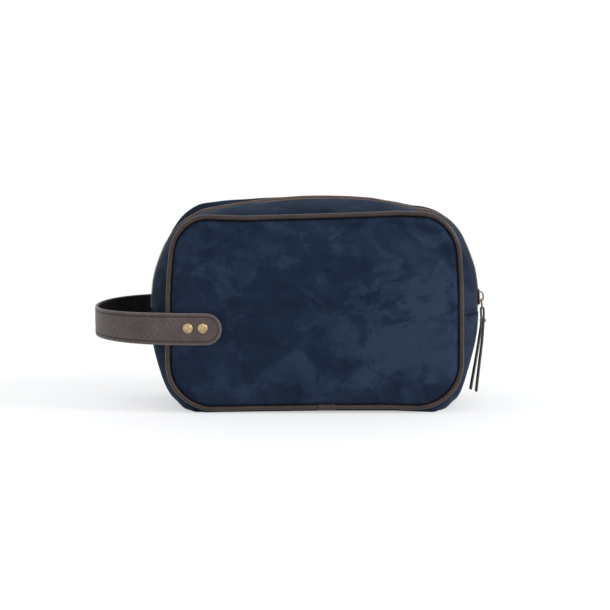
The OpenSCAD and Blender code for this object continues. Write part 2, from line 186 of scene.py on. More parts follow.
def smooth(x, lo, hi):
    t = np.clip((np.asarray(x, float) - lo) / (hi - lo), 0, 1)
    return t * t * (3 - 2 * t)


def settle(p):
    """The small unevenness of a filled bag, the same for every soft piece so that seams stay together."""
    start_z = np.array(p[:, 2], float)
    p = slump(np.array(p, float))
    x, y, z = p[:, 0].copy(), p[:, 1].copy(), p[:, 2].copy()
    near_seam = np.clip(np.abs(y) / SEAM_Y, 0, 1) ** 2
    top = np.interp(x, [-115, -84, -55, -6, 35, 63, 88, 115], [0, -0.8, -1.7, -0.3, 0.9, 2.1, 1.2, 0])
    foot = np.interp(x, [-115, -84, -42, 5, 60, 88, 115], [0, -0.3, 0.5, 1.2, 1.3, 0.4, 0])
    p[:, 2] += top * near_seam * smooth(z, 95, 150)
    p[:, 2] += foot * near_seam * (1 - smooth(z, 4, 60))
    side = np.interp(z, [0, 20, 60, 92, 110, 126, 142, 152, 165],
                     [0, 0.6, 0.2, -0.2, -1.5, -3.0, -3.4, -2.6, -1])
    side *= np.where(x < 0, 1.0, 0.8)
    p[:, 0] += np.sign(x) * side * smooth(np.abs(x), 60, 108) * near_seam
    p[:, 2] = np.maximum(p[:, 2], np.clip(start_z, 0, 0.02))
    return p


CORNER_X = 62


def slump(p):
    """The body's slow swells and hollows, and the zip line sunk at the top corners, most of all on the
    left, where the rear stands proud."""
    x, y, z = p[:, 0].copy(), p[:, 1], p[:, 2].copy()
    left = x < 0
    beyond = np.maximum(np.abs(x) - CORNER_X, 0)

    def move(z0, left_turn, left_mm, right_turn, right_mm, top_x, top_mm, share):
        up = z - z0
        turn = np.degrees(np.arctan2(up, beyond + 1e-6))
        corner = np.where(left, np.interp(turn, left_turn, left_mm), np.interp(turn, right_turn, right_mm))
        amount = np.where(beyond > 0, corner, np.interp(x, top_x, top_mm) * (up > 0)) * share
        size = np.hypot(beyond, up) + 1e-9
        p[:, 0] += np.sign(x) * beyond / size * amount
        p[:, 2] += up / size * amount

    inside = 1 - np.where((y > 0) & (z > 100), 0.15, 1) * (np.abs(y) / SEAM_Y) ** 2.2
    move(WAIST_Z, [-90, -72, -54, -31, -10, 0, 25, 40, 47, 56, 70, 90],
         [0, 1.2, 2.4, 1.7, 0.4, -0.4, -0.8, -1.8, -3.0, -1.6, 0, 0],
         [-90, -72, -55, -40, -20, 25, 42, 58, 68, 78, 90],
         [0, 1.6, 3.2, 1.0, 0, 0, -2.0, -2.3, -3.0, -3.4, -1.6],
         [-CORNER_X, 45, CORNER_X], [0, 0, -1.6], inside)
    sunk = np.where(y < 0, 1 - smooth(-y, 14, SEAM_Y), 1 - smooth(y, 0, 17)) * (z > 100)
    move(100, [0, 25, 57, 75, 90], [0, -1.6, -4.8, -3.8, -2.9],
         [0, 25, 57, 75, 90], [0, -0.2, -0.8, -0.8, -0.5],
         [-CORNER_X, -45, -25, 0, 25, 45, CORNER_X], [-2.9, -2.1, -1.0, -0.2, 0, -0.2, -0.5], sunk)
    return p


def wave(p, scale, seed=0.0):
    """Smooth noise, between about -1 and 1, at points given in millimetres."""
    return np.array([noise.noise(Vector(q)) for q in p / scale + vec(0, seed, -seed)])


# -------------------- making pieces

def placed(name, data):
    """A new object in the scene for a mesh, a light or a camera."""
    obj = bpy.data.objects.new(name, data)
    bpy.context.scene.collection.objects.link(obj)
    return obj


def finish_mesh(name, bm, material):
    bmesh.ops.remove_doubles(bm, verts=bm.verts, dist=1e-6)
    bmesh.ops.dissolve_degenerate(bm, edges=bm.edges, dist=1e-7)
    bmesh.ops.recalc_face_normals(bm, faces=bm.faces)
    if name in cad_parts:
        name += "_made"
    mesh = bpy.data.meshes.new(name)
    bm.to_mesh(mesh)
    bm.free()
    for poly in mesh.polygons:
        poly.use_smooth = True
    mesh.materials.append(material)
    return placed(name, mesh)


def loft(bm, place, nu, nv, uv_size=(1, 1)):
    """A grid laid on the closed surface that place(u, v) gives in millimetres, its meeting edges joined."""
    made = bmesh.ops.create_grid(bm, x_segments=nu, y_segments=nv, size=0.5)["verts"]
    uv = np.array([(v.co.x + 0.5, v.co.y + 0.5) for v in made])
    points = place(uv[:, 0], uv[:, 1]) * MM
    layer = bm.loops.layers.uv.verify()
    faces = set(f for v in made for f in v.link_faces)
    at = {v: k for k, v in enumerate(made)}
    for f in faces:
        for loop in f.loops:
            k = at[loop.vert]
            loop[layer].uv = (uv[k, 0] * uv_size[0] * MM, uv[k, 1] * uv_size[1] * MM)
    for v, co in zip(made, points):
        v.co = co
    bmesh.ops.remove_doubles(bm, verts=made, dist=2e-6)


def lofted(name, material, place, nu, nv, uv_size=(1, 1), capped=False):
    bm = bmesh.new()
    loft(bm, place, nu, nv, uv_size)
    if capped:
        bmesh.ops.holes_fill(bm, edges=[e for e in bm.edges if e.is_boundary], sides=0)
    return finish_mesh(name, bm, material)


def fitted(piece, slot, moves_with, *nodes):
    """Hides the nodes a piece stands for, and parents it to a body's empty; a side's piece is only baked in
    place. Its slot is not used.
    """
    if nodes:
        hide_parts(*nodes)
    if moves_with in SIDES:
        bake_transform(piece)
    else:
        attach(piece, moves_with)


def follow(points, closed=False):
    """Functions of 0..1 along a path: its place, and its direction."""
    points = np.asarray(points, float)
    step = np.linalg.norm(np.diff(points, axis=0), axis=1)
    s = np.concatenate([[0], np.cumsum(step)])
    length = s[-1]

    def place(k):
        return np.stack([np.interp(k * length, s, points[:, i]) for i in range(points.shape[1])], -1)

    def direction(k):
        h = 0.6 / length
        if closed:
            d = place((k + h) % 1.0) - place((k - h) % 1.0)
        else:
            d = place(np.clip(k + h, 0, 1)) - place(np.clip(k - h, 0, 1))
        return unit(d)

    return place, direction, length


def on_panel_plane(p, y):
    return columns(p[:, 0], np.full(len(p), float(y)) if np.isscalar(y) else y, p[:, 1])


def ring_tube(r, y, wobble, seed):
    """place(u, v) for a slightly uneven tube along a panel's seam, and the seam's length."""
    place, direction, length = follow(whole_seam(0), closed=True)

    def at(u, v):
        d = direction(u % 1.0)
        turned = columns(d[:, 1], 0 * u, -d[:, 0])
        ring = columns(40 * np.cos(u * TURN), 40 * np.sin(u * TURN), 0 * u)
        rr = (r * (1 + wobble * wave(ring, 2.4, seed)))[:, None]
        a = v[:, None] * TURN
        out = np.cos(a) * turned + np.sin(a) * vec(0, 1, 0)
        return settle(on_panel_plane(place(u % 1.0), y) + rr * out)

    return at, length


def thread(bm, path, stitch, pitch, radius, sink, normal):
    """A row of stitches along a path of points in millimetres. normal(k) gives the way out of the cloth."""
    place, direction, length = follow(path)
    n = int(length // pitch)
    start = (length - n * pitch) / 2
    for i in range(n):
        k = np.array([(start + (i + 0.5) * pitch) / length])
        p, d = place(k)[0], direction(k)[0]
        out = normal(k)[0]
        across = np.cross(d, out)
        turn = Matrix((d, across, out)).transposed().to_4x4()
        size = Matrix.Diagonal((stitch / 2 * MM, radius * 1.15 * MM, radius * MM, 1))
        where = Matrix.Translation(Vector((p - out * sink) * MM))
        bmesh.ops.create_uvsphere(bm, u_segments=8, v_segments=6, radius=1, matrix=where @ turn @ size)


def chain_path(depth, z0, n=60):
    """Points [x, z] along the ridge at a depth below its surface, from the right cross seam to the left."""
    half = np.concatenate([
        arc(SIDE_C, SIDE_R - depth, side_angle(z0), A_SHOULDER, n),
        arc(SHOULDER_C, SHOULDER_R - depth, A_SHOULDER, A_CREST, n),
        arc(CREST_C, CREST_R - depth, A_CREST, math.pi / 2, n),
        [(0, RIDGE_TOP_Z - depth)]])
    return over_top(half)


def bulge(y, seam_z):
    """How full the gusset is across its width. The weight inside fills the base right out to its seams."""
    full = 1 - smooth(seam_z, SEAM_FOOT_Z, 7)
    part = 1 - smooth(seam_z, SEAM_FOOT_Z, 19)
    return 1 - (np.abs(y) / SEAM_Y) ** (2.2 + 3.6 * part + 11 * full)


# -------------------- shader maths

class Sock:
    """A socket that can be used in Python expressions."""

    def __init__(self, tree, socket):
        self.tree, self.socket = tree, socket

    def _maths(self, op, a, b=None):
        node = self.tree.nodes.new("ShaderNodeMath")
        node.operation = op
        for v, socket in zip((a, b), node.inputs):
            if isinstance(v, Sock):
                self.tree.links.new(v.socket, socket)
            elif v is not None:
                socket.default_value = v
        return Sock(self.tree, node.outputs[0])

    def __add__(self, o): return self._maths("ADD", self, o)
    def __radd__(self, o): return self._maths("ADD", o, self)
    def __sub__(self, o): return self._maths("SUBTRACT", self, o)
    def __rsub__(self, o): return self._maths("SUBTRACT", o, self)
    def __mul__(self, o): return self._maths("MULTIPLY", self, o)
    def abs(self): return self._maths("ABSOLUTE", self)
    def maximum(self, o): return self._maths("MAXIMUM", self, o)


class Finish:
    """One material's nodes."""

    def __init__(self, name):
        self.material = bpy.data.materials.new(name)
        self.material.use_nodes = True
        self.tree = self.material.node_tree
        self.shader = self.tree.nodes["Principled BSDF"]

    def node(self, kind, settings=None, out=0, **values):
        made = self.tree.nodes.new("ShaderNode" + kind)
        for key, value in (settings or {}).items():
            if key == "stops":
                ramp = made.color_ramp
                while len(ramp.elements) < len(value):
                    ramp.elements.new(0.5)
                for element, (place, colour) in zip(ramp.elements, value):
                    element.position = place
                    element.color = (*colour, 1)
            else:
                setattr(made, key, value)
        for key, value in values.items():
            self.put(made.inputs[int(key[1:]) if key in ("i0", "i1") else key.replace("_", " ")], value)
        return Sock(self.tree, made.outputs[out])

    def put(self, socket, value):
        if isinstance(value, Sock):
            self.tree.links.new(value.socket, socket)
        else:
            socket.default_value = value

    def place(self):
        return self.node("TexCoord", out=3)

    def uv(self):
        return self.node("TexCoord", out=2)

    def attribute(self, name):
        return self.node("Attribute", {"attribute_name": name}, out=2)

    def bands(self, where, way, scale, distortion, detail=1.0, **values):
        return self.node("TexWave", {"wave_type": "BANDS", "bands_direction": way}, out=1, Vector=where,
                         Scale=scale, Distortion=distortion, Detail=detail, **values)

    def scaled(self, where, scale, turn=(0, 0, 0)):
        return self.node("Mapping", Vector=where, Scale=scale, Rotation=turn)

    def noise(self, where, scale, detail=3.0, rough=0.5, distortion=0.0):
        return self.node("TexNoise", Vector=where, Scale=scale, Detail=detail, Roughness=rough,
                         Distortion=distortion)

    def ramp(self, fac, stops):
        return self.node("ValToRGB", {"stops": stops}, Fac=fac)

    def levels(self, fac, lo, hi, to_lo=0.0, to_hi=1.0):
        return self.node("MapRange", {"interpolation_type": "SMOOTHSTEP"}, Value=fac,
                         From_Min=lo, From_Max=hi, To_Min=to_lo, To_Max=to_hi)

    def mix(self, fac, a, b):
        made = self.tree.nodes.new("ShaderNodeMix")
        made.data_type = "RGBA"
        self.put(made.inputs[0], fac)
        self.put(made.inputs[6], a if isinstance(a, Sock) else (*a, 1))
        self.put(made.inputs[7], b if isinstance(b, Sock) else (*b, 1))
        return Sock(self.tree, made.outputs[2])

    def bump(self, height, strength, distance):
        made = self.node("Bump", Height=height, Strength=strength, Distance=distance)
        self.put(self.shader.inputs["Normal"], made)

    def set(self, **values):
        for key, value in values.items():
            self.put(self.shader.inputs[key.replace("_", " ")], value)
        return self.material


# -------------------- finishes

def make_suede(name, depth=1.0, shaded_rim=False):
    """Brushed navy nap: wide soft clouds, ragged strokes where a hand has passed, and a fine grain, with a
    painted pool of light on the front's right side. A piece marked for it also gets painted shade beside its
    piping."""
    f = Finish(name)
    at = f.place()
    clouds = f.noise(f.scaled(at, (1, 1, 1.2), (0, 0.35, 0)), 15, 2, 0.5, 0.5)
    strokes = f.noise(f.scaled(at, (0.8, 1, 1.2), (0, -0.6, 0)), 60, 4, 0.6, 0.3)
    brushed = f.levels(f.noise(f.scaled(at, (0.9, 1, 1.15), (0, 0.5, 0)), 34, 6, 0.6, 0.4), 0.47, 0.54)
    nap = f.noise(at, 1400, 2, 0.7)
    # Painted pool of light: the nap is lightened round a fixed spot on the front's right side, as if a lamp
    # fell there
    away = f.node("VectorMath", {"operation": "DISTANCE"}, out=1, i0=at, i1=(0.088, -0.05, 0.078))
    painted_light_pool = 1 - f.levels(away, 0.004, 0.085)
    nap_and_painted_light = f.levels(clouds, 0.36, 0.66) * 0.36 + f.levels(strokes, 0.36, 0.66) * 0.28 + brushed * 0.36
    # From here the nap's value carries the painted pool of light as well as the nap
    nap_and_painted_light = nap_and_painted_light * (0.9 + painted_light_pool * 0.5) + painted_light_pool * 0.2 + 0.06
    shade = nap_and_painted_light + f.levels(nap, 0.3, 0.7, -0.14, 0.14)
    tones = ((0.0056, 0.0112, 0.0246), (0.0098, 0.0173, 0.0358), (0.0190, 0.0306, 0.0570))
    # depth scales every tone; below 1 it is painted shade
    colour = f.ramp(shade, [(k, tuple(c * depth for c in tone)) for k, tone in zip((0, 0.5, 1), tones)])
    if shaded_rim:
        # Painted shade beside the piping: the nap darkens towards black within about 2.6 mm of the rim
        rim_shade = 1 - f.levels(f.attribute("rim"), 0.9, 2.6)
        colour = f.mix(rim_shade * 0.85, colour, (0.002, 0.003, 0.006))
    f.bump(nap * 0.5 + nap_and_painted_light * 0.5, 0.3, 0.0004)
    return f.set(Base_Color=colour, Roughness=f.levels(nap_and_painted_light, 0.0, 1.0, 0.98, 0.84), Specular_IOR_Level=0.04,
                 Sheen_Weight=0.05, Sheen_Roughness=0.5, Sheen_Tint=(0.5, 0.68, 1.0, 1))


def make_leather(name, dark, light, scale, bump, rough=(0.36, 0.56), gloss=0.3, coat=0.0, wear_and_edge_highlight=None):
    """Grained leather. A worn strap also has crossed creases, a stitched groove with painted shade in it, and
    edges lightened partly as burnish and partly as a painted highlight.
    """
    f = Finish(name)
    at = f.place()
    tone = f.noise(at, 55, 4, 0.6, 0.4)
    cells = f.node("TexVoronoi", {"feature": "DISTANCE_TO_EDGE"}, Vector=at, Scale=scale, Randomness=0.9)
    pores = f.noise(at, scale * 2.3, 3, 0.6)
    height = f.levels(cells, 0.0, 0.28) * 0.7 + pores * 0.3
    colour = f.mix(f.levels(tone, 0.3, 0.7), dark, light)
    colour = f.mix(f.levels(height, 0.15, 0.75, 0.45, 0.0), colour, tuple(c * 0.35 for c in dark))
    if wear_and_edge_highlight:
        uv = f.uv()
        marks = [f.levels(f.bands(f.scaled(uv, (1, side, 1)), "DIAGONAL", 135, 3.5, 3.0, Detail_Scale=1.4),
                          0.90, 1.0) for side in (1, -1)]
        rubbed = marks[0].maximum(marks[1]) * f.levels(f.noise(uv, 70, 3), 0.38, 0.62)
        inset = f.attribute("inset") * 1000
        groove = 1 - f.levels((inset - STITCH_IN).abs(), 0.2, 0.6)
        rim = 1 - f.levels(inset, 0.3, 1.5)
        height = height + rubbed * 0.3 - groove * 1.4
        colour = f.mix(rubbed * 0.30, colour, wear_and_edge_highlight)
        # Painted shade: the stitch groove is darkened towards black
        colour = f.mix(groove * 0.95, colour, tuple(c * 0.25 for c in dark))
        # Lightens the strap's edges: partly burnish, partly a painted highlight where light catches the edge
        colour = f.mix(rim * 0.6, colour, wear_and_edge_highlight)
    f.bump(height, bump, 0.0003)
    return f.set(Base_Color=colour, Roughness=f.levels(tone, 0.3, 0.7, *rough), Specular_IOR_Level=gloss,
                 Coat_Weight=coat, Coat_Roughness=0.3)


def make_brass(name, bright, dull):
    f = Finish(name)
    at = f.place()
    patina = f.levels(f.noise(at, 420, 4, 0.65, 0.5), 0.42, 0.68)
    marks = f.noise(f.scaled(at, (1, 1, 6)), 900, 3, 0.7)
    colour = f.mix(patina, bright, dull)
    f.bump(marks, 0.12, 0.0001)
    rough = f.levels(patina + marks * 0.3, 0.0, 1.2, 0.24, 0.46)
    return f.set(Base_Color=colour, Metallic=1.0, Roughness=rough)


def make_tape():
    f = Finish("brown_tape")
    uv = f.uv()
    weave = f.bands(uv, "X", 520, 0.6) * f.bands(uv, "Y", 620, 0.6)
    colour = f.mix(f.levels(weave, 0.05, 0.6), (0.060, 0.041, 0.033), (0.150, 0.108, 0.088))
    f.bump(weave, 0.5, 0.0002)
    return f.set(Base_Color=colour, Roughness=f.levels(weave, 0, 1, 0.85, 0.7), Specular_IOR_Level=0.25,
                 Sheen_Weight=0.15)


def make_coil():
    f = Finish("zip_coil")
    at = f.place()
    tone = f.noise(at, 500, 2, 0.5)
    colour = f.mix(f.levels(tone, 0.3, 0.7), (0.105, 0.074, 0.060), (0.170, 0.125, 0.104))
    return f.set(Base_Color=colour, Roughness=f.levels(tone, 0.3, 0.7, 0.45, 0.58), Specular_IOR_Level=0.3)


def make_lining():
    f = Finish("black_lining")
    at = f.place()
    weave = f.bands(at, "X", 900, 0.8) * 0.5 + f.bands(at, "Z", 900, 0.8) * 0.5
    shade = f.noise(at, 70, 3, 0.6)
    tone = f.levels(weave * 0.6 + shade * 0.4, 0.2, 0.8)
    colour = f.mix(tone, (0.010, 0.010, 0.012), (0.026, 0.026, 0.030))
    f.bump(weave, 0.35, 0.0002)
    return f.set(Base_Color=colour, Roughness=f.levels(shade, 0.3, 0.7, 0.85, 0.73), Specular_IOR_Level=0.25)


def make_thread(name, dark, light, gloss=0.35):
    f = Finish(name)
    at = f.place()
    twist = f.bands(at, "DIAGONAL", 900, 0.5, 2.0)
    f.bump(twist, 0.4, 0.0001)
    colour = f.mix(f.levels(twist, 0, 1), dark, light)
    return f.set(Base_Color=colour, Roughness=0.62, Specular_IOR_Level=gloss)


def make_floor():
    f = Finish("pale_floor")
    shade = f.noise(f.place(), 3, 2)
    colour = f.mix(f.levels(shade, 0.3, 0.7), (0.355, 0.355, 0.357), (0.365, 0.365, 0.367))
    return f.set(Base_Color=colour, Roughness=0.95, Specular_IOR_Level=0.05,
                 Emission_Color=(0.970, 0.985, 1, 1), Emission_Strength=0.54)


SUEDE = make_suede("navy_suede", shaded_rim=True)
# The navy suede again, darkened to 0.6 as painted shade, since the gusset's top faces the bright sky
SHADED_GUSSET_SUEDE = make_suede("shaded_gusset_suede", 0.6)
PIPING = make_leather("piping_leather", (0.021, 0.0105, 0.0085), (0.041, 0.022, 0.018), 700, 0.35,
                      (0.32, 0.44), coat=0.12)
STRAP = make_leather("strap_leather", (0.052, 0.0355, 0.0335), (0.080, 0.056, 0.0535), 900, 0.6,
                     (0.36, 0.52), 0.35, wear_and_edge_highlight=(0.125, 0.098, 0.094))
THONG = make_leather("thong_leather", (0.016, 0.012, 0.010), (0.038, 0.027, 0.023), 900, 0.4, (0.36, 0.52))
CUT_EDGE = make_leather("cut_edge", (0.08, 0.070, 0.064), (0.15, 0.135, 0.125), 1400, 0.3, (0.6, 0.75))
BACKING = make_leather("backing_leather", (0.0040, 0.0029, 0.0030), (0.0090, 0.0068, 0.0070), 1000, 0.3,
                       (0.5, 0.62), 0.2)
PATCH = make_leather("patch_leather", (0.13, 0.085, 0.05), (0.2, 0.135, 0.085), 700, 0.3)
# The edge paint, lightened partly as a painted highlight along the cut edges
EDGE = make_leather("edge_paint_and_highlight", (0.085, 0.068, 0.065), (0.13, 0.108, 0.102), 1300, 0.2, (0.3, 0.42))
BRASS = make_brass("antique_brass", (0.46, 0.36, 0.195), (0.27, 0.195, 0.095))
AGED_BRASS = make_brass("aged_brass", (0.16, 0.115, 0.062), (0.085, 0.058, 0.03))
TAPE = make_tape()
COIL = make_coil()
LINING = make_lining()
DARK_THREAD = make_thread("dark_thread", (0.010, 0.007, 0.006), (0.028, 0.019, 0.017))
NAVY_THREAD = make_thread("navy_thread", (0.0012, 0.0020, 0.0042), (0.0025, 0.0045, 0.0095), 0.03)


# -------------------- padded panels

def keep_shape(obj):
    """Makes the shape that an object's modifiers give it its own."""
    graph = bpy.context.evaluated_depsgraph_get()
    mesh = bpy.data.meshes.new_from_object(obj.evaluated_get(graph))
    obj.modifiers.clear()
    obj.data = mesh
    for poly in mesh.polygons:
        poly.use_smooth = True


def vertices_of(obj):
    """An object's vertices in millimetres."""
    co = np.zeros(len(obj.data.vertices) * 3)
    obj.data.vertices.foreach_get("co", co)
    return co.reshape(-1, 3) / MM


def puff(obj, pinned, pressure, frames, slack):
    """Fills a closed padded piece with cloth simulation, held at its pinned points, and keeps the result."""
    scene = bpy.context.scene
    group = obj.vertex_groups.new(name="held")
    for k, w in enumerate(pinned):
        group.add([k], float(w), "REPLACE")
    mod = obj.modifiers.new("puff", "CLOTH")
    s = mod.settings
    s.use_pressure = True
    s.uniform_pressure_force = pressure
    s.effector_weights.gravity = 0
    s.vertex_group_mass = "held"
    s.quality = 6
    s.mass = 0.12
    s.tension_stiffness = s.compression_stiffness = 12
    s.bending_stiffness = 0.4
    s.shrink_min = slack
    mod.collision_settings.use_collision = False
    mod.collision_settings.use_self_collision = False
    mod.point_cache.frame_start, mod.point_cache.frame_end = 1, frames
    for k in range(1, frames + 1):
        scene.frame_set(k)
    keep_shape(obj)
    obj.vertex_groups.clear()
    scene.frame_set(1)


RINGS = 30
PANEL_INSET = PIPING_R - 0.6
PANEL_REACH = (SEAM_TOP_Z - SEAM_FOOT_Z) / 2 - PANEL_INSET


def panel_ring(rim, rho):
    """Points across a panel: rho 0 is its rim and 1 its middle line."""
    mid_z = (SEAM_TOP_Z + SEAM_FOOT_Z) / 2
    half = PANEL_HALF_W - PANEL_INSET - PANEL_REACH
    middle = columns(np.clip(rim[:, 0], -half, half), np.full(len(rim), mid_z))
    return rim * (1 - rho[:, None]) + middle * rho[:, None]


def near_tab(x, z):
    """1 under the strap's end, falling to 0 round it."""
    return (1 - smooth(np.abs(z - STRAP_Z), STRAP_W / 2 + 1, STRAP_W / 2 + 14)) * (
        1 - smooth(x, -STRAP_END_X + 2, -STRAP_END_X + 16))


def panel_place(u, v):
    """The front panel's pad: middle of its face at v 0, its rim at v 0.5, middle of its back at v 1."""
    rim_at, _, _ = follow(whole_seam(PANEL_INSET), closed=True)
    rho = np.abs(1 - 2 * v) ** 1.7
    p = panel_ring(rim_at(u % 1.0), rho)
    depth = rho * PANEL_REACH
    face = -(46.3 + 2.85 * (1 - np.exp(-depth / 2.0)))
    back = -45.15 - 0.5 * np.exp(-depth / 1.0)
    face -= 0.5 * smooth(depth, 6, 42) * (1 - near_tab(p[:, 0], p[:, 1]))
    face = np.where(v < 0.5, face, back)
    return on_panel_plane(p, face)


def make_panel(side, sign):
    obj = lofted(side + "_panel", SUEDE, panel_place, 200, 2 * RINGS)
    start = vertices_of(obj)
    rim_depth = outline_depth(start)
    back = start[:, 1] > -46.0
    held = np.where(back, 1.0, 1 - smooth(rim_depth, 0.6, 4.0))
    held = np.maximum(held, near_tab(start[:, 0], start[:, 2]))
    puff(obj, held, 1.6, 16, -0.012)
    p = vertices_of(obj)
    face = ~back
    near = np.exp(-rim_depth / 9.0) * (1 - np.exp(-rim_depth / 1.5))
    angle = np.arctan2(start[:, 2] - WAIST_Z, start[:, 0] * 0.7)
    ray = columns(angle * 30, rim_depth * 0.12, angle * 0)
    pucker = wave(ray, 1.35, 3.1 + sign) * near * 0.55
    swell = wave(start, 46, 7.7 + sign) * 0.42 * smooth(rim_depth, 4, 25)
    swell += wave(start, 17, 2.2 + sign) * 0.16 * smooth(rim_depth, 3, 14)
    tab = near_tab(p[:, 0], p[:, 2])
    p[:, 1] -= np.where(face, (pucker + swell) * (1 - tab), 0)
    furthest = np.maximum(-50.9, -49.35 - 4 * (1 - tab))
    p[:, 1] = np.where(face, np.maximum(p[:, 1], furthest), p[:, 1])
    p = settle(p)
    if sign > 0:
        p[:, 1] *= -1
    obj.data.vertices.foreach_set("co", (p * MM).ravel())
    if sign > 0:
        obj.data.flip_normals()
    obj.data.update()
    # How far each point lies in from the rim, which the suede reads to paint shade beside the piping
    rim = obj.data.attributes.new("rim", "FLOAT", "POINT")
    rim.data.foreach_set("value", np.where(face, rim_depth, 9.0))
    rounding = obj.modifiers.new("round", "SUBSURF")
    rounding.levels = rounding.render_levels = 1
    keep_shape(obj)
    fitted(obj, "navy_suede", side, *[f"{side}_{what}_{half}" for what in ("panel", "foam")
                                      for half in ("lower", "upper")])


def outline_depth(p):
    """How far points on the panel's plane lie inside its rim, in millimetres."""
    q = columns(np.abs(p[:, 0]), p[:, 2])
    hw = PANEL_HALF_W - PANEL_INSET
    top, foot = SEAM_TOP_Z - PANEL_INSET, SEAM_FOOT_Z + PANEL_INSET
    flat = np.minimum(hw - q[:, 0], np.minimum(top - q[:, 1], q[:, 1] - foot))
    for r, cz, above in ((PANEL_TOP_R - PANEL_INSET, top - PANEL_TOP_R + PANEL_INSET, 1),
                         (PANEL_FOOT_R - PANEL_INSET, foot + PANEL_FOOT_R - PANEL_INSET, -1)):
        cx = hw - r
        inside = (q[:, 0] > cx) & ((q[:, 1] - cz) * above > 0)
        away = r - np.hypot(q[:, 0] - cx, q[:, 1] - cz)
        flat = np.where(inside, away, flat)
    return np.maximum(flat, 0)


def make_panel_lining(side, sign):
    inset = 2.6

    def place(u, v):
        rim_at, _, _ = follow(whole_seam(inset), closed=True)
        rho = np.abs(1 - 2 * v) ** 1.5
        p = panel_ring(rim_at(u % 1.0), rho)
        y = np.where(v < 0.5, 44.9, 44.4)
        p3 = on_panel_plane(p, y)
        p3[:, 1] -= np.where(v < 0.5, 0, 0.35 * (wave(p3, 16, 5) + 0.3) * smooth(rho, 0.02, 0.3))
        p3[:, 1] = np.minimum(p3[:, 1], 44.9)
        return settle(p3) * vec(1, sign, 1)

    fitted(lofted(side + "_lining", LINING, place, 160, 24), "black_lining", side,
           side + "_lining_lower", side + "_lining_upper")


for side, sign in SIDES.items():
    make_panel(side, sign)
    make_panel_lining(side, sign)


# -------------------- gussets

def zip_dip(y):
    """How far the cloth turns down into the zip."""
    return 2.0 * (1 - smooth(np.abs(y), ZIP_EDGE_Y, 14))


def tape_dip(y):
    """The tape runs under the turned cloth, then rises to carry the coil."""
    return np.interp(np.abs(y), [2.2, 5.2, 14], [-0.9, 2.0, 0.05])


def no_dip(y):
    return 0 * y


def skin(seam, ridge, y, dip):
    """Points at width y on the gusset, between matching points of a seam outline and a ridge outline."""
    span = ridge - seam
    q = seam + span * bulge(y, seam[:, 1])[:, None] - unit(span) * dip(y)[:, None]
    return columns(q[:, 0], y, q[:, 1])


OVER = (over_top, seam_high, ridge_high)
UNDER = (under_base, seam_low, ridge_low)


def strip_place(route, z, y_edge, y_slot, depth=0.0, thick=FABRIC_T, rough=1.0, seed=0.0, dip=no_dip):
    """A closed strip of gusset cloth over the top or under the base, and how many points its route has.
    v goes once round its section: the outer face, then back along the inner face."""
    join, seam_of, ridge_of = route
    layers = [(join(seam_of(t, z)), join(ridge_of(t, z)), t) for t in (depth, depth + thick)]
    n = len(layers[0][0])

    def place(u, v):
        outer = v < 0.5
        w = np.where(outer, v * 2, 2 - v * 2)
        y = y_edge + (y_slot - y_edge) * w
        k = u * (n - 1)
        faces = []
        for seam, ridge, t in layers:
            a, b = (np.stack([np.interp(k, np.arange(n), line[:, i]) for i in (0, 1)], 1)
                    for line in (seam, ridge))
            face = skin(a, b, y, dip)
            face[:, 2] = np.maximum(face[:, 2], t)
            faces.append(face)
        points = np.where(outer[:, None], faces[0], faces[1])
        if rough:
            points = rumple(points, rough, seed)
        return settle(points)

    return place, n


def rumple(p, amount, seed):
    """Soft folds in the gusset: short puckers along the piping, longer drags round the corners."""
    x, y, z = p[:, 0], p[:, 1], p[:, 2]
    from_seam = SEAM_Y - np.abs(y)
    out = columns(x * 0.9, 0 * x, (z - WAIST_Z) * 1.3)
    out[:, 2] = np.where(np.abs(x) < 80, np.sign(z - WAIST_Z) * 90, out[:, 2])
    out /= np.linalg.norm(out, axis=1, keepdims=True) + 1e-9
    around = columns(x, y * 0.16, z)
    near = np.exp(-from_seam / 9.0) * (1 - np.exp(-from_seam / 2.0))
    mid = np.clip(from_seam / 14, 0, 1) * (1 - np.exp(-np.maximum(np.abs(y) - 4, 0) / 8))
    d = wave(around, 6.5, seed) * near * 0.9
    d = d + wave(p, 30, seed + 4) * mid * 1.1 + wave(p, 13, seed + 9) * mid * 0.4
    d = d * smooth(z, 2, 14)
    sag = 2.2 * (1 - np.abs(y) / SEAM_Y) * np.exp(-((z - CROSS_SEAM_Z) / 9) ** 2)
    return p + out * (d * amount)[:, None] - columns(0 * x, 0 * x, sag)


def make_strip(name, route, z, y_edge, y_slot, moves_with, across, material=SHADED_GUSSET_SUEDE, slot="navy_suede",
               uv_size=(400, 90), **cloth):
    place, n = strip_place(route, z, y_edge, y_slot, **cloth)
    fitted(lofted(name, material, place, 2 * (n - 1), across, uv_size, capped=True), slot, moves_with, name)


AS_LINING = dict(depth=LINING_DEPTH, thick=0.5, material=LINING, slot="black_lining", rough=0.0)
EDGE_Y = GUSSET_Y + 1.0
LINING_EDGE_Y, LINING_SLOT_Y = GUSSET_Y - 1.5, 9.3
for side, sign in SIDES.items():
    make_strip("zip_gusset_" + side, OVER, CROSS_SEAM_Z + 0.2, sign * EDGE_Y, sign * ZIP_EDGE_Y, side, 56,
               seed=2.0 + sign, dip=zip_dip)
    make_strip("zip_lining_" + side, OVER, CROSS_SEAM_Z + 0.2, sign * LINING_EDGE_Y, sign * LINING_SLOT_Y,
               side, 24, **AS_LINING)
make_strip("base_gusset", UNDER, CROSS_SEAM_Z - 0.5, -EDGE_Y, EDGE_Y, BASE, 84, seed=6.0)
make_strip("base_lining", UNDER, CROSS_SEAM_Z - 0.2, -LINING_EDGE_Y, LINING_EDGE_Y, BASE, 48, **AS_LINING)


# -------------------- piping

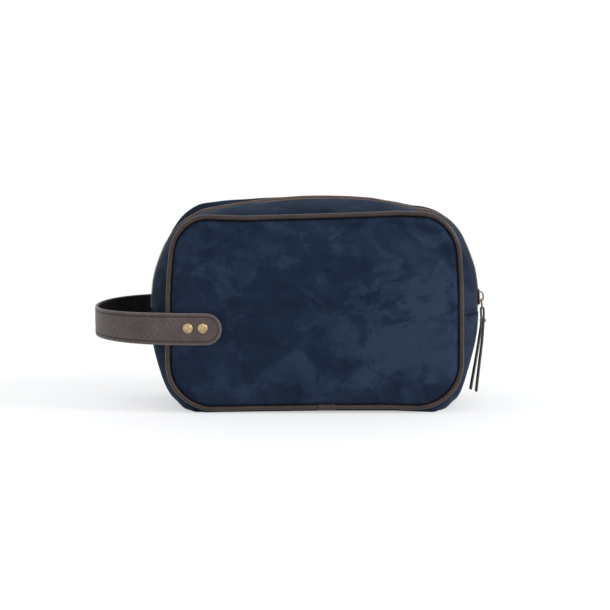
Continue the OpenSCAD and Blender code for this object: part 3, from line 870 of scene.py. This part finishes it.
for side, sign in SIDES.items():
    tube, length = ring_tube(PIPING_R, sign * SEAM_Y, wobble=0.07, seed=1.3 * sign)
    fitted(lofted(side + "_piping", PIPING, tube, 420, 14, (length, 13)), "brown_leather", side,
           *[side + "_piping" + end for end in ("_lower", "_upper", "_cord_lower", "_cord_upper")])


def make_join(side, sign):
    """The short leather sleeve over the piping's ends, at the foot of a panel."""
    def place(u, v):
        x = 2 + 14 * u
        end = np.minimum(u, 1 - u) * 14
        r = PIPING_R + 0.15 + 0.5 * np.sqrt(np.clip(end / 1.2, 0, 1)) + 0.08 * np.sin(u * 9)
        a = v * TURN
        return settle(columns(x, sign * SEAM_Y + r * np.cos(a), SEAM_FOOT_Z + r * np.sin(a)))

    bm = bmesh.new()
    loft(bm, place, 28, 20, (14, 14))
    bmesh.ops.solidify(bm, geom=bm.faces[:], thickness=-0.0001)
    name = side + "_piping_join"
    fitted(finish_mesh(name, bm, PIPING), "brown_leather", BASE, name)


for side, sign in SIDES.items():
    make_join(side, sign)


# -------------------- zip

def coil_place(sign, turns, shift, radius=1.12, wire=0.33, flat=0.8):
    """One row of a coil zip: a flattened spiral along the ridge."""
    place, direction, _ = follow(chain_path(COIL_DEPTH, z0=CROSS_SEAM_Z + 2.4))

    def at(u, v):
        a = (u * turns + shift) * TURN
        p, d = place(u), direction(u)
        out = columns(d[:, 1], 0 * u, -d[:, 0])
        side_way = np.tile(vec(0, 1, 0), (len(u), 1))
        radial = out * (np.cos(a) * flat)[:, None] + side_way * np.sin(a)[:, None]
        centre = columns(p[:, 0], np.full(len(u), sign * 1.42), p[:, 1]) + radial * radius
        along = columns(d[:, 0], 0 * u, d[:, 1])
        b = v * TURN
        return settle(centre + wire * (np.cos(b)[:, None] * unit(radial) + np.sin(b)[:, None] * along))

    return at


COIL_TURNS = 250
for side, sign in SIDES.items():
    make_strip("zip_tape_" + side, OVER, CROSS_SEAM_Z, sign * 9, sign * 2.0, side, 20, TAPE, "brown_tape",
               (360, 14), depth=1.3, thick=0.6, rough=0.0, dip=tape_dip)
    row = coil_place(sign, COIL_TURNS, 0.0 if sign < 0 else 0.5)
    fitted(lofted("zip_teeth_" + side, COIL, row, COIL_TURNS * 10, 6, capped=True), "zip_teeth", side,
           "zip_teeth_" + side)


STOP_LONG, STOP_TALL, STOP_ROUND = 2.7, 2.2, 0.5


def make_stop(name, x_sign, y0, y1, moves_with):
    """A small crimped brass stop across the end of a row of teeth."""
    bm = bmesh.new()
    made = bmesh.ops.create_cube(bm, size=1)["verts"]
    p = chain_path(1.6, z0=CROSS_SEAM_Z + 1.6)[0]
    size = Matrix.Diagonal((STOP_LONG * MM, abs(y1 - y0) * MM, STOP_TALL * MM, 1))
    where = Matrix.Translation((x_sign * p[0] * MM, (y0 + y1) / 2 * MM, p[1] * MM))
    bmesh.ops.transform(bm, matrix=where @ size, verts=made)
    bmesh.ops.bevel(bm, geom=bm.edges[:], offset=STOP_ROUND * MM, segments=3, affect="EDGES", profile=0.5,
                    material=-1)
    fitted(finish_mesh(name, bm, BRASS), "antique_brass", moves_with, name)


make_stop("zip_top_stop_front", 1, -2.6, -0.3, "front")
make_stop("zip_top_stop_rear", 1, 0.3, 2.6, "rear")
make_stop("zip_bottom_stop", -1, -2.6, 2.6, BASE)


# -------------------- handle

HANDLE_REACH = 174
BACKING_Y, BACKING_T, STRAP_T, STRAP_GAP = 49.4, 1.2, 1.6, 0.05
STRAP_Y = BACKING_Y + BACKING_T + STRAP_GAP
LOOP_X = HANDLE_REACH - BACKING_Y - BACKING_T - STRAP_T - STRAP_GAP
WAIST = 2.2


def loop_path(radius, end_x):
    """Plan of the handle: along the front, round the loop and back along the rear, as points [x, y]."""
    a = np.radians(np.linspace(270, 90, 181))
    bend_part = columns(-LOOP_X + radius * np.cos(a), radius * np.sin(a))
    front = run((-end_x, -radius), (-LOOP_X, -radius), 40)
    rear = run((-LOOP_X, radius), (-end_x, radius), 40)[1:]
    return np.concatenate([front, bend_part, rear, [(-end_x, radius)]])


def strap_width(k, length, end_r, narrow):
    """Half the strap's width at a share k of its length: round ends, and a slight waist over the loop."""
    s = np.minimum(k, 1 - k) * length
    waist = smooth(s, 38, length * 0.5)
    half = end_r - narrow / 2 * waist
    d = np.clip(end_r - s, 0, end_r)
    return np.where(s < end_r, np.sqrt(np.maximum(end_r ** 2 - d ** 2, 0)), half)


def plan_out(d):
    return columns(-d[:, 1], d[:, 0])


def handle_lie(p):
    """The handle's slight twist: its front end hangs a little low, and its rear leg rides a little high."""
    x, y = p[:, 0], p[:, 1]
    front = -0.9 * smooth(x, -150, -98) * (y < 0)
    rear = 1.5 * smooth(y, -25, 45) * smooth(-x, 96, 122)
    return p + columns(0 * x, 0 * x, front + rear)


def strap_section(thick, steps):
    """Round a strap's section: rows of [share of half width, mm in from the edge, mm out from its middle]."""
    edge_r = thick * 0.45
    corner = np.radians([0, 22, 45, 68, 90])
    inward, out = edge_r * (1 - np.sin(corner)), thick / 2 - edge_r * (1 - np.cos(corner))
    turns = [columns(np.full(5, w), inward, t * out)[::order] for w, t, order in
             ((1, 1, 1), (1, -1, -1), (-1, -1, 1), (-1, 1, -1))]
    rows = [turns[0][:1]]
    for a, b in zip(turns, turns[1:] + turns[:1]):
        across = a[-1] + (b[0] - a[-1]) * (np.arange(1, steps + 1) / steps)[:, None]
        rows += [a[1:], across if a[0][0] != b[0][0] else b[:1]]
    return np.concatenate(rows)


def make_strap_layer(name, radius, thick, end_x, end_r, narrow, material, slot, pillow=0.0, edge=None):
    """A leather strap bent into the loop: its section swept along, with rounded edges and round ends."""
    place, direction, length = follow(loop_path(radius + thick / 2, end_x))
    ring = strap_section(thick, 16)
    steps = np.arange(len(ring))

    def section_at(v):
        return (np.interp(v * (len(ring) - 1), steps, ring[:, c]) for c in range(3))

    def along(u):
        return 0.25 - 0.25 * np.cos(np.pi * u) + u * 0.5

    def at(u, v):
        k = along(u)
        p, out = place(k), plan_out(direction(k))
        half = strap_width(k, length, end_r, narrow)
        share, inward, t = section_at(v)
        w = share * np.maximum(half - inward, 0)
        t = t + np.where(t > 0, pillow * (1 - share ** 2), 0)
        z = STRAP_Z + w + 0.3 * wave(columns(p[:, 0], p[:, 1], 0 * t), 45, 1.0)
        return handle_lie(columns(p[:, 0] + out[:, 0] * t, p[:, 1] + out[:, 1] * t, z))

    piece = lofted(name, material, at, 320, len(ring) - 1, (length, 2 * STRAP_W))
    if edge:
        piece.data.materials.append(edge)
        layer = piece.data.uv_layers.active.data
        inset = piece.data.attributes.new("inset", "FLOAT", "POINT")
        for poly in piece.data.polygons:
            uv = np.array([layer[i].uv for i in poly.loop_indices]) / MM / (length, 2 * STRAP_W)
            share, inward, _ = section_at(uv[:, 1])
            k = along(uv[:, 0])
            s = np.minimum(k, 1 - k) * length
            half = strap_width(k, length, end_r, narrow)
            w = np.abs(share) * (half - inward)
            depth = np.where(s < end_r, end_r - np.hypot(end_r - s, w), half - w)
            for i, d in zip(poly.vertices, depth):
                inset.data[i].value = d * MM
            if np.abs(share).min() > 0.9999:
                poly.material_index = 1
    fitted(piece, slot, BASE, name)


make_strap_layer("handle_strap", STRAP_Y, STRAP_T, STRAP_END_X, STRAP_W / 2, WAIST, STRAP, "strap_leather",
                 pillow=0.18, edge=EDGE)
make_strap_layer("handle_backing", BACKING_Y, BACKING_T, STRAP_END_X + 0.3, STRAP_W / 2 - 0.3, WAIST, BACKING,
                 "black_backing")


def strap_stitches():
    """Thread along both edges of the strap and round each end."""
    radius = STRAP_Y + STRAP_T + 0.06
    place, _, length = follow(loop_path(radius, STRAP_END_X))
    end_r = STRAP_W / 2
    k = np.linspace(0, 1, 500)
    s = np.minimum(k, 1 - k) * length
    half = strap_width(k, length, end_r, WAIST) - STITCH_IN
    keep = s > end_r
    upper = columns(*place(k[keep]).T, STRAP_Z + half[keep])
    lower = columns(*place(k[keep]).T, STRAP_Z - half[keep])
    a = np.radians(np.linspace(90, -90, 40))
    ends = [columns(-STRAP_END_X - end_r + (end_r - STITCH_IN) * np.cos(a), np.full(40, y),
                    STRAP_Z + (end_r - STITCH_IN) * np.sin(a)) for y in (-radius, radius)]
    bm = bmesh.new()
    for path in (upper, lower, *ends):
        at, _, _ = follow(path)

        def outward(k, at=at):
            q = at(k)
            r = q[:, :2] - vec(-LOOP_X, 0)
            flat = columns(np.zeros(len(q)), np.sign(q[:, 1]), np.zeros(len(q)))
            bent = unit(columns(r[:, 0], r[:, 1], np.zeros(len(q))))
            return np.where(q[:, :1] > -LOOP_X, flat, bent)

        thread(bm, handle_lie(path), stitch=2.8, pitch=3.3, radius=0.33, sink=0.08, normal=outward)
    fitted(finish_mesh("handle_stitches", bm, DARK_THREAD), "strap_leather", BASE)


strap_stitches()


def make_rivets(side, sign):
    """Two turned rivet caps: nearly flat, with a fine groove inside a rounded rim."""
    face = BACKING_Y + BACKING_T + STRAP_T + 0.08
    profile = [(0, 1.30), (1.2, 1.27), (2.2, 1.18), (2.85, 1.04), (3.02, 0.92), (3.16, 0.90), (3.38, 1.0),
               (3.68, 0.92), (3.92, 0.62), (3.98, 0.2), (3.98, -0.1), (0, -0.1)]
    bm = bmesh.new()
    for x in (RIVET_X, RIVET_X + RIVET_PITCH):
        line = [bm.verts.new((r * MM, 0, h * MM)) for r, h in profile]
        edges = [bm.edges.new(pair) for pair in zip(line, line[1:])]
        before = set(bm.verts) - set(line)
        bmesh.ops.spin(bm, geom=line + edges, cent=(0, 0, 0), axis=(0, 0, 1), angle=TURN, steps=48,
                       use_merge=True)
        cap = [v for v in bm.verts if v not in before]
        turn = Matrix.Translation((-x * MM, sign * face * MM, STRAP_Z * MM)) @ Matrix.Rotation(
            -sign * math.pi / 2, 4, "X")
        bmesh.ops.transform(bm, matrix=turn, verts=cap)
    name = "handle_rivets_" + side
    fitted(finish_mesh(name, bm, BRASS), "antique_brass", BASE, name)


for side, sign in SIDES.items():
    make_rivets(side, sign)


# -------------------- thong pull

def on_slider(q, w):
    """Points from [out of the bag, up along the zip] at the slider, and a width across the zip."""
    angle = side_angle(CROSS_SEAM_Z) + SLIDER_AT / SIDE_R
    outward, along = vec(math.cos(angle), math.sin(angle)), vec(-math.sin(angle), math.cos(angle))
    flat = SIDE_C + SIDE_R * outward + q[:, :1] * outward + q[:, 1:] * along
    return columns(flat[:, 0], w, flat[:, 1])


def blunt(x, power):
    """A sine or cosine drawn towards a square wave, for sections with rounded corners."""
    return np.sign(x) * np.abs(x) ** power


def make_thong():
    """The folded thong: a flat lace over the link's bar, pinched by its rivet, with two hanging tails."""
    lean = math.radians(5)
    fold = vec(1.42 + 1.25 + 6.2 * math.sin(lean), -2.2 - 6.2 * math.cos(lean))
    thick, width, length, drop = 1.5, 4.2, 68, 11
    mid, half = 0.67 + thick / 2, thick / 2
    outer = [(mid, 0), (0.05 + half, -drop), (half - 1.9, -drop - 17), (half - 4.4, -drop - 33),
             (half - 8, -length)]
    inner = [(-mid, 0), (-0.05 - half, -drop), (-half - 3, -drop - 17), (-half - 6.2, -drop - 33),
             (-half - 10.9, -length + 2)]
    fold_round = [(mid * math.cos(a), mid * math.sin(a)) for a in np.linspace(0, math.pi, 13)[1:-1]]
    path = follow(outer[::-1] + fold_round + inner)[0](np.linspace(0, 1, 140))
    for _ in range(14):
        path[1:-1] = (path[:-2] + path[1:-1] * 2 + path[2:]) / 4
    place, direction, total = follow(path)

    def at(u, v):
        p, d = place(u), direction(u)
        normal = columns(-d[:, 1], d[:, 0])
        a = v * TURN
        w = blunt(np.sin(a), 0.25) * width / 2
        t = blunt(np.cos(a), 0.55) * half
        hang = np.maximum(np.abs(u - 0.5) * total - mid * math.pi / 2, 0)
        twist = np.radians(np.interp(hang, [0, 9, 22, 70], [0, 2, 9, 13]))
        c, s = np.cos(twist), np.sin(twist) * np.sign(u - 0.5)
        t, w = t * c - w * s, w * c + t * s
        return on_slider(fold + p + normal * t[:, None], w)

    bm = bmesh.new()
    loft(bm, at, 170, 32, (total, 11))
    caps = bmesh.ops.holes_fill(bm, edges=[e for e in bm.edges if e.is_boundary], sides=0)["faces"]
    for face in caps:
        face.material_index = 1
    layer = bm.loops.layers.uv.active
    for face in bm.faces:
        around = np.mean([loop[layer].uv[1] for loop in face.loops]) / (11 * MM)
        if face.material_index == 0 and abs(math.sin(around * TURN)) > 0.995:
            face.material_index = 1
    piece = finish_mesh("pull_thong", bm, THONG)
    piece.data.materials.append(CUT_EDGE)
    fitted(piece, "brown_leather", "slider_thong", "pull_thong")


make_thong()


def make_crown():
    """The slider's crown: a rounded band bent over in a D, with softened edges."""
    a = np.linspace(0, math.pi, 400)
    band = columns(0.9 + 3.4 * np.abs(np.sin(a)) ** 0.6, 3.7 * blunt(np.cos(a), 0.75))
    place, direction, _ = follow(band)

    def at(u, v):
        d = direction(u)
        a = v * TURN
        w, t = blunt(np.sin(a), 0.45) * 1.25, blunt(np.cos(a), 0.7) * 0.55
        return on_slider(place(u) + columns(d[:, 1], -d[:, 0]) * t[:, None], w)

    fitted(lofted("slider_crown", AGED_BRASS, at, 60, 24, capped=True), "antique_brass", "zip_slider",
           "slider_crown")


make_crown()


def softened(node, body, material, edge=0.0):
    """A metal piece from its own solid, with its sharp edges eased."""
    bm = bmesh.new()
    bm.from_mesh(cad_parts[node].data)
    bmesh.ops.remove_doubles(bm, verts=bm.verts, dist=1e-6)
    bmesh.ops.dissolve_limit(bm, angle_limit=math.radians(1), verts=bm.verts, edges=bm.edges)
    if edge:
        sharp = [e for e in bm.edges if e.is_manifold and e.calc_face_angle(0) > math.radians(35)]
        bmesh.ops.bevel(bm, geom=sharp, offset=edge * MM, segments=2, affect="EDGES", profile=0.5,
                        material=-1)
    fitted(finish_mesh(node, bm, material), "antique_brass", body, node)


softened("slider_body", "zip_slider", AGED_BRASS, 0.22)
softened("pull_link", "slider_link", BRASS)
softened("pull_thong_rivet", "slider_thong", BRASS, 0.12)


# -------------------- seams

def outward_of(way):
    def outward(k):
        d = way(k)
        return unit(columns(d[:, 2], 0 * d[:, 0], -d[:, 0]))
    return outward


def seam_rows():
    """Stitches beside each zip edge, and across the gusset above each cross seam."""
    for side, sign in SIDES.items():
        seam, ridge = (over_top(line(0, CROSS_SEAM_Z + 2)) for line in (seam_high, ridge_high))
        row = skin(seam, ridge, np.full(len(seam), sign * (ZIP_EDGE_Y + 2.0)), zip_dip)
        row = settle(rumple(row, 1.0, 2.0 + sign))
        bm = bmesh.new()
        thread(bm, row, stitch=2.4, pitch=3.0, radius=0.22, sink=0.02, normal=outward_of(follow(row)[1]))
        for x_sign in (-1, 1):
            y = sign * np.linspace(ZIP_EDGE_Y + 1, 43, 60)
            seam, ridge = (np.tile(vec(x_sign, 1) * line(0, CROSS_SEAM_Z + 3.3)[0], (60, 1))
                           for line in (seam_high, ridge_high))
            row = settle(rumple(skin(seam, ridge, y, zip_dip), 1.0, 2.0 + sign))
            thread(bm, row, stitch=2.9, pitch=3.1, radius=0.55, sink=0.35,
                   normal=lambda k, x_sign=x_sign: np.tile(vec(x_sign, 0, 0), (len(k), 1)))
        fitted(finish_mesh("gusset_stitches_" + side, bm, NAVY_THREAD), "navy_suede", side)


seam_rows()


# -------------------- washers and patches

for what, material in (("rivet_washers", BRASS), ("patch", PATCH)):
    for side in SIDES:
        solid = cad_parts[f"handle_{what}_{side}"].data
        solid.materials.clear()
        solid.materials.append(material)


# -------------------- floor, light and camera

bm = bmesh.new()
bmesh.ops.create_grid(bm, x_segments=4, y_segments=4, size=6)
floor = finish_mesh("floor", bm, make_floor())
floor.data.transform(Matrix.Translation((0, 3.0, -0.0002)))


def lamp(name, kind, **settings):
    data = bpy.data.lights.new(name, kind)
    for key, value in settings.items():
        setattr(data, key, value)
    return placed(name, data)


softbox = lamp("softbox", "AREA", shape="RECTANGLE", size=0.5, size_y=0.9, energy=7)
softbox.location = (1.1, -1.6, 0.9)
softbox.rotation_euler = (Vector((0, 0, 0.08)) - softbox.location).to_track_quat("-Z", "Y").to_euler()
sun = lamp("key", "SUN", energy=1.5, angle=math.radians(16))
sun.rotation_euler = Vector((0.90, -0.22, 0.42)).to_track_quat("Z", "Y").to_euler()

world = bpy.data.worlds.new("studio")
world.use_nodes = True
world.node_tree.nodes["Background"].inputs[0].default_value = (1, 1, 1, 1)
world.node_tree.nodes["Background"].inputs[1].default_value = 1.18
bpy.context.scene.world = world
bpy.context.scene.view_settings.view_transform = "Standard"

camera_data = bpy.data.cameras.new("camera")
camera = placed("camera", camera_data)
camera_data.lens, camera_data.sensor_width = 107, 36
camera_data.clip_start, camera_data.clip_end = 0.05, 30
ELEVATION, DISTANCE = math.radians(7.5), 1.442
AIM = Vector((-0.0075, 0, 0.0782))
back = Vector((0, -math.cos(ELEVATION), math.sin(ELEVATION)))
camera.location = AIM + back * DISTANCE
camera.rotation_euler = (-back).to_track_quat("-Z", "Y").to_euler()
bpy.context.scene.camera = camera
